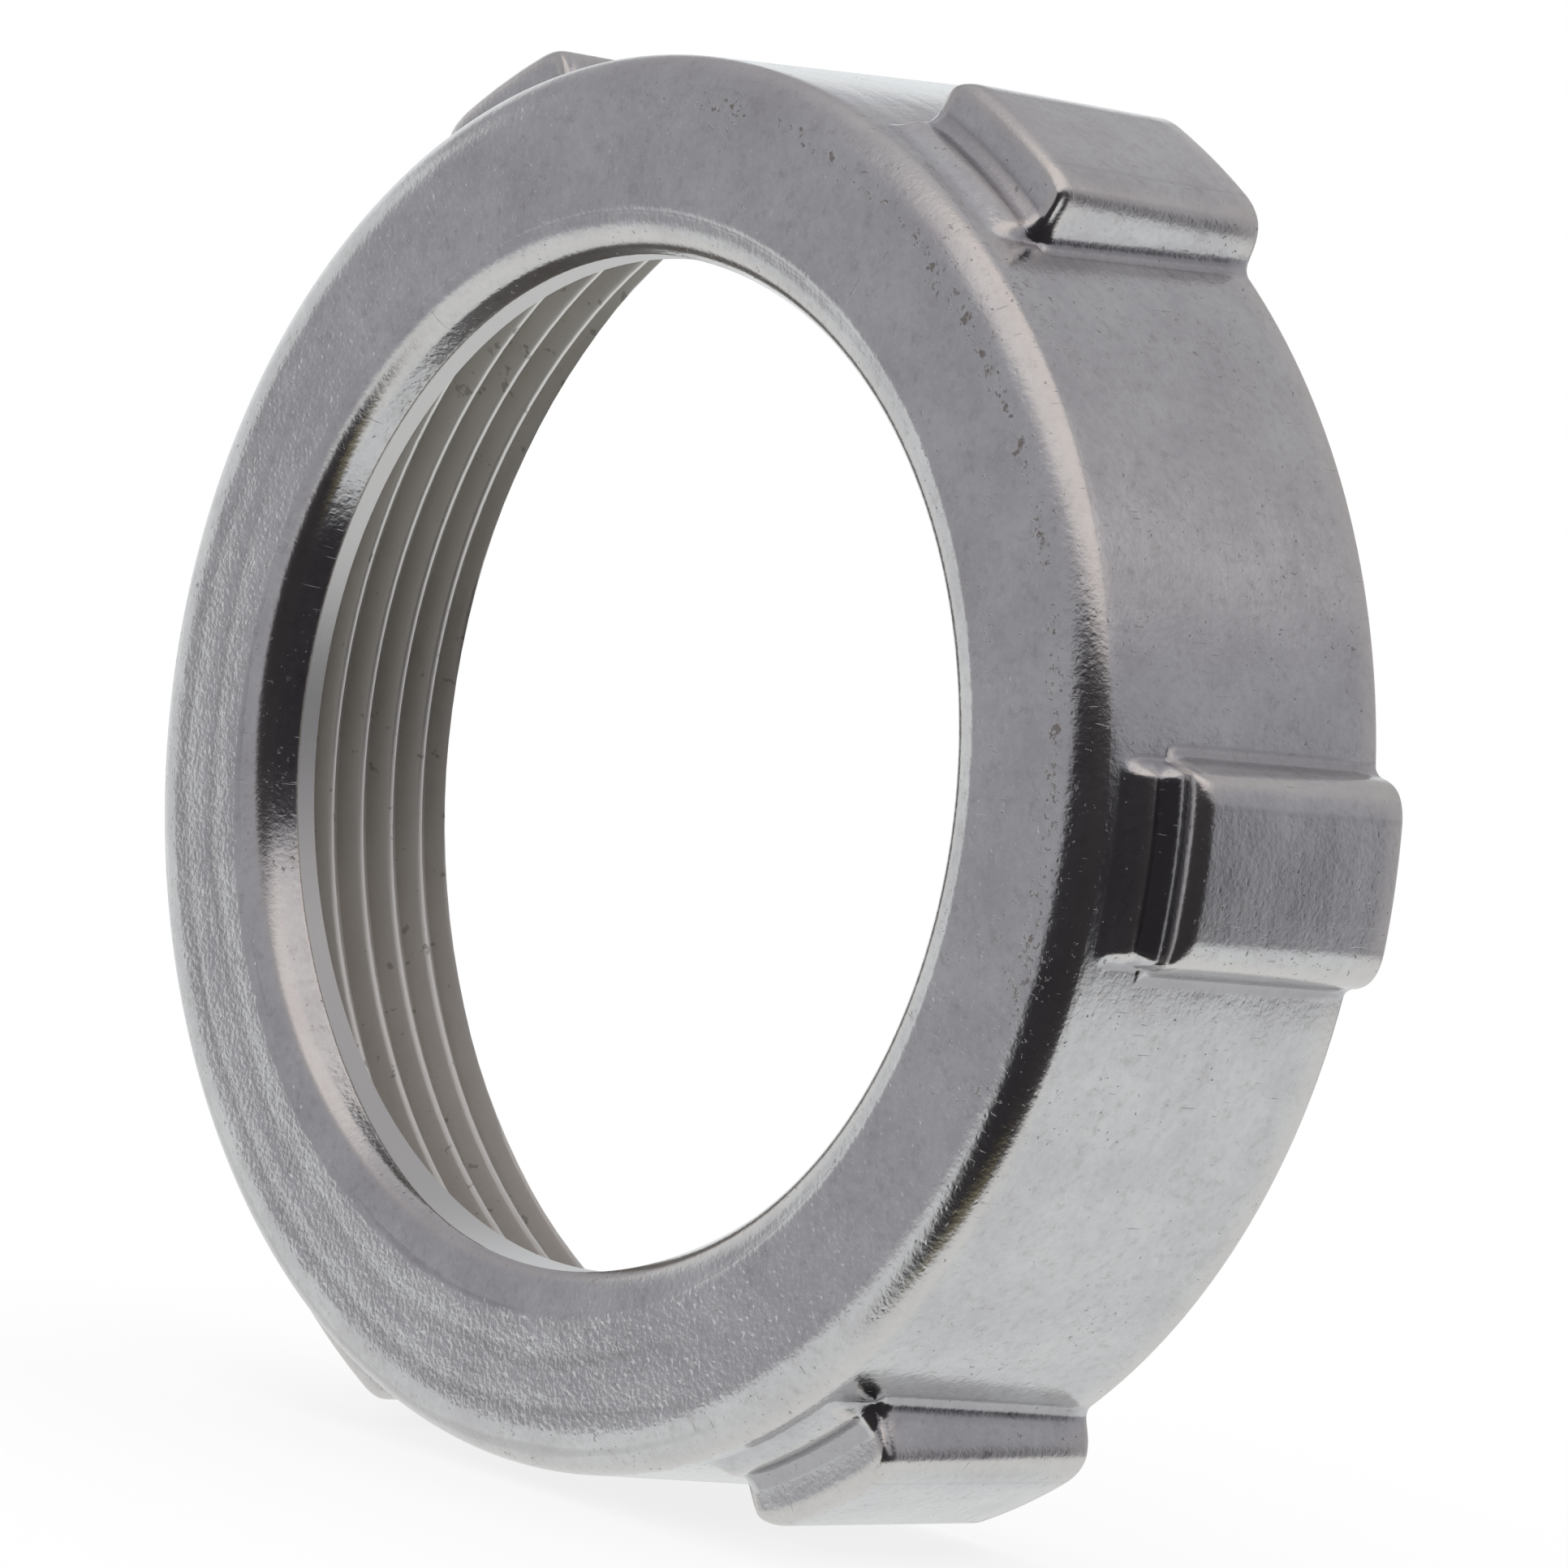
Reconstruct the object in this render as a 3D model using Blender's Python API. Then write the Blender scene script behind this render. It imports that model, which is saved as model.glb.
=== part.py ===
"""Lugged union nut: one die-cast ring with an inner lip, a threaded socket behind it and six wrench lugs.

The nut stands on its rim. Its axis is Y, the lip's broad face looks to -Y and the open threaded end to +Y.
The origin is the centre of the nut. All sizes are in metres.
"""

import math

import bmesh
import bpy

# Socket: the threaded bore at its crests, opened by a countersink at the rear face
SOCKET_DIAMETER = 0.0490
COUNTERSINK_WIDTH = 0.0015
COUNTERSINK_DEPTH = 0.00095

# Body: a cast wall round the socket with a little draft, thickest at the open end
WALL_THICKNESS = 0.0035
BODY_DRAFT = math.radians(2.8)
BODY_WIDTH = 0.0145
RIM_ROUNDING = 0.0012

# Lip: the flange that closes the socket in front, with a turned bore and a rounded cast chamfer
LIP_WIDTH = 0.0049
LIP_BORE_LENGTH = 0.0009
LIP_THICKNESS = 0.0026
LIP_CHAMFER_ANGLE = math.radians(70.0)
LIP_CHAMFER_ROUNDING = 0.0015
LIP_ROUNDING_LIMIT = 0.9

# Lugs: heights stand on the rear diameter, the length runs from the rear face to the front's foot
# Two opposite lugs lie on the mould's parting plane and were trimmed lower
LUG_COUNT = 6
LUG_HEIGHT = 0.00203
TRIMMED_LUG_HEIGHT = 0.00145
TRIMMED_LUG_EVERY = 3
LUG_TOP_WIDTH = 0.0046
LUG_LENGTH = 0.01145
LUG_CORNER_BLEND = 0.0008

# Flanks of a lug: a round foot, a plane slope and a round crown, on its sides and on its front
SIDE_FOOT_RADIUS = 0.0009
SIDE_SLOPE = math.radians(60.0)
SIDE_CROWN_RADIUS = 0.0016
FRONT_FOOT_RADIUS = 0.0007
FRONT_SLOPE = math.radians(84.0)
FRONT_CROWN_RADIUS = 0.00075

# Pad: a low base under each lug that leans forward in front of it and runs out into the drafted body behind
PAD_RUN_OUT = 0.0017
PAD_LENGTH = 0.01295
PAD_LEAN = math.radians(8.0)
PAD_FRONT_STEP = 0.00075
PAD_SIDE_STEP = 0.0008
PAD_SIDE_INSET = 0.0006

# Facets along each curved stretch
RIM_STEPS = 5
CHAMFER_STEPS = 3
PAD_STEPS = 4
FOOT_STEPS = 3
CROWN_STEPS = 5
BODY_STEPS = 3

SOCKET_RADIUS = SOCKET_DIAMETER / 2.0
REAR_RADIUS = SOCKET_RADIUS + WALL_THICKNESS
BORE_RADIUS = SOCKET_RADIUS - LIP_WIDTH
REAR_Y = BODY_WIDTH / 2.0
FRONT_Y = -BODY_WIDTH / 2.0
LIP_REAR_Y = FRONT_Y + LIP_THICKNESS
RIM_START_Y = FRONT_Y + RIM_ROUNDING
LUG_FOOT_Y = REAR_Y - LUG_LENGTH
PAD_FOOT_Y = REAR_Y - PAD_LENGTH
PAD_RADIUS = REAR_RADIUS - PAD_RUN_OUT * math.tan(BODY_DRAFT)
LUG_PITCH = 2.0 * math.pi / LUG_COUNT
SHARP_ANGLE = math.radians(32.0)


def body_radius(y):
    """Radius of the drafted body at height y along the axis."""
    return REAR_RADIUS - (REAR_Y - y) * math.tan(BODY_DRAFT)


def lug_height(lug):
    """Height of one lug over the rear diameter: the lugs on the parting plane were trimmed."""
    return TRIMMED_LUG_HEIGHT if lug % TRIMMED_LUG_EVERY == 0 else LUG_HEIGHT


def lug_tip(height):
    """Radius of a lug's top."""
    return REAR_RADIUS + height


class Flank:
    """One sloping flank of a lug, from its foot up to the rise: foot arc, plane slope, crown arc."""

    def __init__(self, rise, foot, slope, crown):
        self.rise, self.foot, self.slope, self.crown = rise, foot, slope, crown
        self.foot_run = foot * math.sin(slope)
        self.foot_rise = foot * (1.0 - math.cos(slope))
        self.plane_run = (rise - self.foot_rise - crown * (1.0 - math.cos(slope))) / math.tan(slope)
        self.crown_start = self.foot_run + self.plane_run
        self.run = self.crown_start + crown * math.sin(slope)

    def height(self, distance):
        """Height at a distance in from the foot."""
        if distance <= 0.0:
            return 0.0
        if distance < self.foot_run:
            return self.foot - math.sqrt(self.foot**2 - distance**2)
        if distance < self.crown_start:
            return self.foot_rise + (distance - self.foot_run) * math.tan(self.slope)
        if distance < self.run:
            return self.rise - self.crown + math.sqrt(self.crown**2 - (self.run - distance) ** 2)
        return self.rise

    def stops(self):
        """Distances in from the foot that follow the two arcs in even steps."""
        foot = [self.foot * math.sin(angle) for angle in [0.0] + spread(0.0, self.slope, FOOT_STEPS)]
        crown = [self.run - self.crown * math.sin(angle) for angle in spread(self.slope, 0.0, CROWN_STEPS)]
        return foot + [self.crown_start] + crown


def side_flank(rise):
    """A lug's side."""
    return Flank(rise, SIDE_FOOT_RADIUS, SIDE_SLOPE, SIDE_CROWN_RADIUS)


def front_flank(rise):
    """A lug's front, a steep wall."""
    return Flank(rise, FRONT_FOOT_RADIUS, FRONT_SLOPE, FRONT_CROWN_RADIUS)


def blend_low(first, second, blend):
    """The lower of two heights, rounded where they meet: equal heights lose a quarter of the blend."""
    return min(first, second) - max(blend - abs(first - second), 0.0) ** 2 / (4.0 * blend)


def soft_step(share):
    """From 0 to 1 as the share does, level at both ends."""
    share = min(max(share, 0.0), 1.0)
    return share * share * (3.0 - 2.0 * share)


def outer_radius(from_lug, height, y):
    """Radius of the outside at an angle from a lug's middle: the drafted body, the pad and the lug on it."""
    base = body_radius(y)
    pad_rise = max(PAD_RADIUS - base, 0.0)
    lean = max(LUG_FOOT_Y - y, 0.0) * math.tan(PAD_LEAN)
    rise = lug_tip(height) - base - pad_rise + LUG_CORNER_BLEND / 4.0
    side = side_flank(rise)
    side_inward = LUG_TOP_WIDTH / 2.0 + side.run - abs(from_lug) * lug_tip(height)
    lug = blend_low(side.height(side_inward), front_flank(rise).height(y - LUG_FOOT_Y), LUG_CORNER_BLEND)
    pad_side = soft_step((side_inward - PAD_SIDE_INSET) / PAD_SIDE_STEP)
    pad_front = soft_step((y - PAD_FOOT_Y) / PAD_FRONT_STEP)
    return base + max(pad_rise - lean, 0.0) * pad_side * pad_front + max(lug, 0.0)


def spread(start, end, steps):
    """Evenly spaced values after start, up to and including end."""
    return [start + (end - start) * step / steps for step in range(1, steps + 1)]


def outer_line(from_lug, height):
    """Outside of the section, from the rear face forward to the rim rounding, as (radius, y) points."""
    front = front_flank(lug_tip(height) - PAD_RADIUS)
    pad_stops = [PAD_FOOT_Y] + spread(PAD_FOOT_Y, PAD_FOOT_Y + PAD_FRONT_STEP, PAD_STEPS)
    lug_stops = [LUG_FOOT_Y + distance for distance in front.stops()]
    stops = [REAR_Y, REAR_Y - PAD_RUN_OUT] + lug_stops[::-1] + pad_stops[::-1]
    return [(outer_radius(from_lug, height, y), y) for y in stops]


def rim_arc():
    """The rounded outer rim, from the drafted body round to the flat front face."""
    centre_radius = body_radius(RIM_START_Y) - RIM_ROUNDING * math.cos(BODY_DRAFT)
    centre_y = FRONT_Y + RIM_ROUNDING
    angles = [BODY_DRAFT] + spread(BODY_DRAFT, math.pi / 2.0, RIM_STEPS)
    return [
        (centre_radius + RIM_ROUNDING * math.cos(angle), centre_y - RIM_ROUNDING * math.sin(angle))
        for angle in angles
    ]


def lip_line():
    """Front face to lip: a rounded chamfer, then the short turned bore down to the washer seat."""
    depth = LIP_THICKNESS - LIP_BORE_LENGTH
    slope = LIP_CHAMFER_ANGLE
    rounding = min(LIP_CHAMFER_ROUNDING, LIP_ROUNDING_LIMIT * depth / (1.0 - math.cos(slope)))
    centre_radius = BORE_RADIUS + (rounding + (depth - rounding) * math.cos(slope)) / math.sin(slope)
    centre_y = FRONT_Y + rounding
    arc = [
        (centre_radius - rounding * math.sin(angle), centre_y - rounding * math.cos(angle))
        for angle in [0.0] + spread(0.0, slope, CHAMFER_STEPS)
    ]
    return arc + [(BORE_RADIUS, LIP_REAR_Y - LIP_BORE_LENGTH), (BORE_RADIUS, LIP_REAR_Y)]


def socket_line():
    """Threaded socket at its crests, then the countersink that opens it at the rear face."""
    return [
        (SOCKET_RADIUS, LIP_REAR_Y),
        (SOCKET_RADIUS, REAR_Y - COUNTERSINK_DEPTH),
        (SOCKET_RADIUS + COUNTERSINK_WIDTH, REAR_Y),
    ]


def section(from_lug, height):
    """The whole closed section of the ring at one angle."""
    return outer_line(from_lug, height) + rim_arc() + lip_line() + socket_line()


def half_pitch_angles(height):
    """Angles from a lug's middle to the middle of the gap, close together across the lug's side."""
    side = side_flank(height)
    foot = LUG_TOP_WIDTH / 2.0 + side.run
    flank = [(foot - distance) / lug_tip(height) for distance in reversed(side.stops())]
    return flank + spread(flank[-1], LUG_PITCH / 2.0, BODY_STEPS)


def stations():
    """Every section's place: its angle round the axis, its angle from a lug and that lug's height."""
    places = []
    for lug in range(LUG_COUNT):
        height = lug_height(lug)
        half = half_pitch_angles(height)
        around = [-angle for angle in reversed(half[:-1])] + [0.0] + half
        places += [(lug * LUG_PITCH + angle, angle, height) for angle in around]
    return places


def loft_ring(name):
    """Sections set round the Y axis as closed loops, bridged in order into one closed ring."""
    mesh = bpy.data.meshes.new(name)
    shape = bmesh.new()
    edges = []
    for angle, from_lug, height in stations():
        loop = [
            shape.verts.new((radius * math.cos(angle), y, radius * math.sin(angle)))
            for radius, y in section(from_lug, height)
        ]
        edges += [shape.edges.new((loop[index - 1], loop[index])) for index in range(len(loop))]
    bmesh.ops.bridge_loops(shape, edges=edges, use_cyclic=True)
    bmesh.ops.recalc_face_normals(shape, faces=shape.faces)
    shape.to_mesh(mesh)
    shape.free()
    mesh.shade_smooth()
    mesh.set_sharp_from_angle(angle=SHARP_ANGLE)
    return mesh


def cast_metal():
    """Bright tumbled die-cast zinc alloy."""
    material = bpy.data.materials.new("cast_zinc")
    material.use_nodes = True
    shader = material.node_tree.nodes["Principled BSDF"]
    shader.inputs["Base Color"].default_value = (0.56, 0.56, 0.57, 1.0)
    shader.inputs["Metallic"].default_value = 1.0
    shader.inputs["Roughness"].default_value = 0.32
    return material


def main():
    for old in list(bpy.data.objects):
        bpy.data.objects.remove(old, do_unlink=True)
    parts = bpy.data.collections.new("pipe_union")
    bpy.context.scene.collection.children.link(parts)
    nut = bpy.data.objects.new("union_nut", loft_ring("union_nut"))
    nut.data.materials.append(cast_metal())
    parts.objects.link(nut)


main()
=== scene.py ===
# %% [markdown]
# A die-cast union nut, dressed for its portrait.
# The real nut is one casting: a ring with a flat front face, a rounded lip round the tube bore, six wrench
# lugs on the outside and a screw thread inside. The solid model gives the sizes, and this script gives the
# surface: fine roundings, the thread, and the tumbled, scratched skin of the metal.

# %% Load the solid model as the frame
import math

import bpy
import numpy as np
from mathutils import Matrix, Vector


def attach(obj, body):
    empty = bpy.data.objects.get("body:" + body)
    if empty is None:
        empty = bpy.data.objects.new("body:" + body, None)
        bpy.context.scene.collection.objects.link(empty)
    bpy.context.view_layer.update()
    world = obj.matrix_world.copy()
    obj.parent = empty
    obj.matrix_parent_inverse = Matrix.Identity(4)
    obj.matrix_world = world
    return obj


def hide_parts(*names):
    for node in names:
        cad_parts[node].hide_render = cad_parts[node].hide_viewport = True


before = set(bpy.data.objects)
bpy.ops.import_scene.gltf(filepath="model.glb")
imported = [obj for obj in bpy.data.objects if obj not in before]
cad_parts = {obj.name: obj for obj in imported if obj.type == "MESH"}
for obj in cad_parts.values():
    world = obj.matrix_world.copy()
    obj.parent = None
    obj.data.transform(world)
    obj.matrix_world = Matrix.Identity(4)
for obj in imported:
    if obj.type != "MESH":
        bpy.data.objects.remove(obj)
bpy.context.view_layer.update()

MM = 0.001

# %% [markdown]
# The ring's section is written once, in millimetres, as in the solid model. The nut stands on its rim with
# its axis along Y: the lip's face looks to -Y and the open, threaded end to +Y.

# %% Sizes of the casting
WIDTH = 14.5
REAR_Y = WIDTH / 2.0
FRONT_Y = -WIDTH / 2.0
REAR_RADIUS = 28.0
BODY_DRAFT = math.radians(2.8)
RIM_REACH = 1.9
RIM_DEPTH = 1.25
REAR_EDGE = 0.28
BORE_RADIUS = 19.6
LIP_REAR_Y = FRONT_Y + 2.6
LIP_BORE_LENGTH = 0.95
LIP_STEP_RADIUS = 21.30
LIP_STEP_WIDTH = 0.16
LIP_STEP_DEPTH = 0.025
LIP_SLOPE = math.radians(10.0)
LIP_WALL_SLOPE = math.radians(64.0)
LIP_ROUNDING = 1.3


def body_radius(y):
    """Radius of the drafted body: the rear radius, less the draft's slope times the distance forward."""
    return REAR_RADIUS - (REAR_Y - y) * math.tan(BODY_DRAFT)


print("body diameter, rear and front:", 2 * body_radius(REAR_Y), round(2 * body_radius(FRONT_Y), 2))

# %% [markdown]
# A lug gives a wrench something to push on. Each flank climbs from the body in three stretches: a hollow
# foot, a plane slope and a round crown. A sculpted block would do from far away, but the bands of light on
# these roundings are what the eye reads as cast metal, so the flank is written as a formula.

# %% The flank of a lug
LUG_COUNT = 6
LUG_DEGREES = 360.0 / LUG_COUNT
LUG_PITCH = math.radians(LUG_DEGREES)
LUG_HEIGHT = 2.03
TRIMMED_LUG_HEIGHT = 1.45
TRIMMED_FROM = 0.79
TRIMMED_CHANGE = 0.13
LUG_TOP_WIDTH = 4.6
LUG_FOOT_Y = REAR_Y - 11.45
CORNER_BLEND = 0.8
CORNER_RADIUS = 1.3
SIDE = {"foot": 0.7, "slope": math.radians(70.0), "crown": 1.9}
FRONT = {"foot": 0.7, "slope": math.radians(88.0), "crown": 0.75}


def flank_stretches(rise, foot, slope, crown):
    """Where the foot arc ends, where the crown arc starts and where the flank reaches its rise."""
    foot_run = foot * math.sin(slope)
    plane_rise = rise - (foot + crown) * (1.0 - math.cos(slope))
    crown_start = foot_run + plane_rise / math.tan(slope)
    return foot_run, crown_start, crown_start + crown * math.sin(slope)


def flank_height(inward, rise, foot, slope, crown):
    """Height at a distance inward from the foot: a hollow arc, then a straight slope, then a round arc."""
    foot_run, crown_start, run = flank_stretches(rise, foot, slope, crown)
    hollow = foot - np.sqrt(foot**2 - np.clip(inward, 0.0, foot_run) ** 2)
    plane = (np.clip(inward, foot_run, crown_start) - foot_run) * math.tan(slope)
    from_top = run - np.clip(inward, crown_start, run)
    rounded = np.sqrt(crown**2 - from_top**2) - crown * math.cos(slope)
    return hollow + plane + rounded


def soft_step(share):
    """From 0 to 1 as the share does, level at both ends: three squares less two cubes."""
    share = np.clip(share, 0.0, 1.0)
    return share * share * (3.0 - 2.0 * share)


def lug_heights(angle):
    """Lug height round the ring: two opposite lugs are trimmed, with a smooth change in the gaps."""
    trimmed = soft_step((np.abs(np.cos(angle)) - TRIMMED_FROM) / TRIMMED_CHANGE)
    return LUG_HEIGHT + (TRIMMED_LUG_HEIGHT - LUG_HEIGHT) * trimmed


def from_nearest_lug(angle):
    """Angle to the middle of the nearest lug: what is left after whole pitches, counted both ways."""
    return np.abs((angle + LUG_PITCH / 2.0) % LUG_PITCH - LUG_PITCH / 2.0)


PAD_RADIUS = body_radius(REAR_Y - 1.7)
PAD_FOOT_Y = REAR_Y - 12.95
PAD_FRONT_STEP = 1.4
PAD_SIDE_STEP = 0.8
PAD_SIDE_INSET = 0.6


def corner_cut(side_inward, front_inward):
    """What a round corner takes off two distances: a square corner less a quarter circle."""
    from_side = np.clip(CORNER_RADIUS - side_inward, 0.0, CORNER_RADIUS)
    from_front = np.clip(CORNER_RADIUS - front_inward, 0.0, CORNER_RADIUS)
    return np.hypot(from_side, from_front) - np.maximum(from_side, from_front)


def outer_radius(angle, y):
    """Drafted body, a low pad with a ramp in front, and the lug: the lower of its side and front."""
    base = body_radius(y)
    tip = REAR_RADIUS + lug_heights(angle)
    pad_rise = np.maximum(PAD_RADIUS - base, 0.0)
    rise = tip - base - pad_rise + CORNER_BLEND / 4.0
    from_lug = from_nearest_lug(angle) * tip
    side_inward = LUG_TOP_WIDTH / 2.0 + flank_stretches(rise, **SIDE)[2] - from_lug
    front_inward = y - LUG_FOOT_Y
    cut = corner_cut(side_inward, front_inward)
    side = flank_height(side_inward - cut, rise, **SIDE)
    front = flank_height(front_inward - cut, rise, **FRONT)
    corner = np.maximum(CORNER_BLEND - np.abs(side - front), 0.0) ** 2 / (4.0 * CORNER_BLEND)
    pad_side = soft_step((side_inward - PAD_SIDE_INSET) / PAD_SIDE_STEP)
    pad_front = soft_step((y - PAD_FOOT_Y) / PAD_FRONT_STEP)
    pad = pad_rise * pad_side * pad_front
    return base + pad + np.maximum(np.minimum(side, front) - corner, 0.0)


print("across the trimmed lugs:", round(2 * float(outer_radius(np.zeros(1), REAR_Y)[0]), 2), "mm")

# %% [markdown]
# The whole casting is one grid: a closed section, carried round the axis. The columns lie close together
# where a lug's sides are, and the rows where the section bends, so that the light runs smoothly over them.

# %% Columns round the ring
LUG_TOP_END = 4.4
LUG_SIDE_END = 10.6
half_pitch = np.concatenate([
    np.linspace(0.0, LUG_TOP_END, 5)[:-1],
    np.linspace(LUG_TOP_END, LUG_SIDE_END, 32)[:-1],
    np.linspace(LUG_SIDE_END, LUG_DEGREES / 2.0, 15),
])
one_pitch = np.concatenate([-half_pitch[:0:-1], half_pitch[:-1]])
around = np.radians((LUG_DEGREES * np.arange(LUG_COUNT)[:, None] + one_pitch[None, :]).ravel())
print("columns round the ring:", around.size)

# %% Rows of the outside and the rim
EDGE_ROWS = 5
BODY_ROWS = 11
CROWN_ROWS = 11
FLANK_ROWS = 5
FOOT_ROWS = 10
PAD_ROWS = 9
RIM_ROWS = 19


def evenly(start, end, count):
    """Evenly spaced values from start to end, both included."""
    return np.linspace(start, end, count)


def outside_rows():
    """Rear edge rounding, the body, then the lug fronts: rows follow the bends of each lug's flank."""
    turn = evenly(math.pi / 2.0, 0.0, EDGE_ROWS)[:, None]
    edge_radius = outer_radius(around, REAR_Y - REAR_EDGE)[None, :]
    edge_radius = edge_radius - REAR_EDGE * (1.0 - np.cos(turn))
    edge_y = REAR_Y - REAR_EDGE * (1.0 - np.sin(turn))
    rise = REAR_RADIUS + lug_heights(around) - PAD_RADIUS
    foot_run, crown_start, run = flank_stretches(rise, **FRONT)
    crown = run - FRONT["crown"] * np.sin(evenly(0.0, FRONT["slope"], CROWN_ROWS))[:, None]
    foot = FRONT["foot"] * np.sin(evenly(FRONT["slope"], 0.0, FOOT_ROWS))[:, None]
    share = evenly(0.0, 1.0, FLANK_ROWS)[1:-1, None]
    wall = crown_start + (foot_run - crown_start) * share
    lug_y = LUG_FOOT_Y + np.concatenate([crown, wall, foot + 0.0 * around])
    pad_y = evenly(PAD_FOOT_Y + PAD_FRONT_STEP, PAD_FOOT_Y, PAD_ROWS)[:, None] + 0.0 * around
    ledge_y = lug_y[-1] + (pad_y[0] - lug_y[-1]) * share
    share = evenly(0.0, 1.0, BODY_ROWS)[1:-1, None]
    body_y = (REAR_Y - REAR_EDGE) + (lug_y[0] - REAR_Y + REAR_EDGE) * share
    y = np.concatenate([body_y, lug_y, ledge_y, pad_y])
    radius = np.concatenate([edge_radius, outer_radius(around, y)])
    return radius, np.concatenate([edge_y + 0.0 * around, y])


def rim_rows():
    """A quarter of an ellipse, from the drafted body to the flat face, as (radius, y)."""
    rim_y = FRONT_Y + RIM_DEPTH
    turn = evenly(0.0, math.pi / 2.0, RIM_ROWS)
    centre = body_radius(rim_y) - RIM_REACH
    return np.stack([centre + RIM_REACH * np.cos(turn), rim_y - RIM_DEPTH * np.sin(turn)], 1)


print("rows of the outside:", len(outside_rows()[0]), "and of the rim:", len(rim_rows()))

# %% [markdown]
# The lip holds the tube's washer on the real nut, and its front is what the eye falls on first. A turned
# step, a gentle cone and a steep wall follow each other, with a generous rounding between cone and wall that
# catches the light.

# %% Section of the lip
bore_front_y = LIP_REAR_Y - LIP_BORE_LENGTH
STEP_ROWS = 4
CONE_ROWS = 9
ROUNDING_ROWS = 25
MOUTH_WALL_ROWS = 6
STEP_SHOULDER = 0.35
STEP_SHOULDER_DROP = 0.85
STEP_FOOT = 0.80
CONE_DROP = 1.3


def lip_rows():
    """A fine step, a gentle cone and a steep wall down to the bore, joined by an arc tangent to both."""
    radius, y = LIP_STEP_RADIUS, FRONT_Y
    step = np.array([
        (radius, y),
        (radius - STEP_SHOULDER * LIP_STEP_WIDTH, y + STEP_SHOULDER_DROP * LIP_STEP_DEPTH),
        (radius - STEP_FOOT * LIP_STEP_WIDTH, y + LIP_STEP_DEPTH),
    ])
    cone_start = np.array([radius - LIP_STEP_WIDTH, y + CONE_DROP * LIP_STEP_DEPTH])
    down_cone = np.array([-math.cos(LIP_SLOPE), math.sin(LIP_SLOPE)])
    down_wall = np.array([-math.cos(LIP_WALL_SLOPE), math.sin(LIP_WALL_SLOPE)])
    bore_edge = np.array([BORE_RADIUS, bore_front_y])
    both_ways = np.stack([down_cone, down_wall], 1)
    cone_run, wall_run = np.linalg.solve(both_ways, bore_edge - cone_start)
    trim = LIP_ROUNDING * math.tan((LIP_WALL_SLOPE - LIP_SLOPE) / 2.0)
    cone = cone_start + evenly(0.0, cone_run - trim, CONE_ROWS)[:-1, None] * down_cone
    arc_start = cone_start + (cone_run - trim) * down_cone
    centre = arc_start + LIP_ROUNDING * np.array([math.sin(LIP_SLOPE), math.cos(LIP_SLOPE)])
    turn = evenly(LIP_SLOPE, LIP_WALL_SLOPE, ROUNDING_ROWS)
    rounding = centre - LIP_ROUNDING * np.stack([np.sin(turn), np.cos(turn)], 1)
    wall = bore_edge - evenly(wall_run - trim, 0.0, MOUTH_WALL_ROWS)[1:, None] * down_wall
    return np.concatenate([step, cone, rounding, wall])


print("points in the lip's section:", len(lip_rows()))

# %% [markdown]
# The mouth of the lip is not quite even on the real nut: at the bottom it runs straight into the turned
# bore, at the top its wall is short, and at the lower left its step stands further out. So the lip's
# section changes a little round the ring, and in each column it ends where the bore cuts it.

# %% The uneven mouth of the lip
MOUTH_MIDDLE = math.radians(272.0)
MOUTH_SPREAD = math.radians(34.0)
MOUTH_INWARD = 0.65
TOP_MIDDLE = math.radians(82.0)
TOP_SPREAD = math.radians(42.0)
TOP_INWARD = 0.26
STEP_MIDDLE = math.radians(220.0)
STEP_SPREAD = math.radians(38.0)
STEP_OUTWARD = 0.45
LIP_BLEND = 0.9
LIP_ROWS = 36


def swell(middle, spread):
    """A smooth hump round the ring: one at its middle, a bell curve of the angle from there."""
    from_middle = (around - middle + math.pi) % (2.0 * math.pi) - math.pi
    return np.exp(-((from_middle / spread) ** 2))


def lip_sheet():
    """Radius and y of the lip's rows: its section, moved in or out round the ring and cut by the bore."""
    section = lip_rows()
    length = np.concatenate([[0.0], np.cumsum(np.hypot(*np.diff(section, axis=0).T))])
    inward = MOUTH_INWARD * swell(MOUTH_MIDDLE, MOUTH_SPREAD)
    inward = inward + TOP_INWARD * swell(TOP_MIDDLE, TOP_SPREAD)
    outward_step = STEP_OUTWARD * swell(STEP_MIDDLE, STEP_SPREAD)
    cut = np.interp(-(BORE_RADIUS + inward), -section[:, 0], length)
    step_length = length[:STEP_ROWS, None] + 0.0 * around
    share = evenly(0.0, 1.0, LIP_ROWS)[1:, None]
    rest_length = length[STEP_ROWS - 1] + (cut - length[STEP_ROWS - 1]) * share
    along = np.concatenate([step_length, rest_length])
    radius = np.interp(along, length, section[:, 0])
    y = np.interp(along, length, section[:, 1])
    near_step = soft_step((radius - LIP_STEP_RADIUS + LIP_BLEND) / LIP_BLEND)
    return radius - inward * (1.0 - near_step) + outward_step * near_step, y


rim = rim_rows()
lip_radius, lip_y = lip_sheet()
FACE_ROWS = 23
EDGE_BREAK = 0.06
share = evenly(0.0, 1.0, FACE_ROWS)[1:-1, None]
face_radius = rim[-1, 0] + (lip_radius[0] - rim[-1, 0]) * share
bore_radius = np.array([0.0, 0.0, 2.0 * EDGE_BREAK])[:, None] + BORE_RADIUS + 0.0 * around
lip_rear = np.full_like(around, LIP_REAR_Y)
bore_y = np.stack([lip_y[-1] + EDGE_BREAK, lip_rear - 2.0 * EDGE_BREAK, lip_rear])
bore_length = LIP_REAR_Y - lip_y[-1]
print("bore length, mm:", round(float(bore_length.min()), 2), "to", round(float(bore_length.max()), 2))

# %% [markdown]
# Behind the lip lies the washer's flat seat, then the socket wall at the thread's roots, then the countersink
# that leads the thread in. The photo hardly shows them, so a few plain rows are enough.

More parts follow.
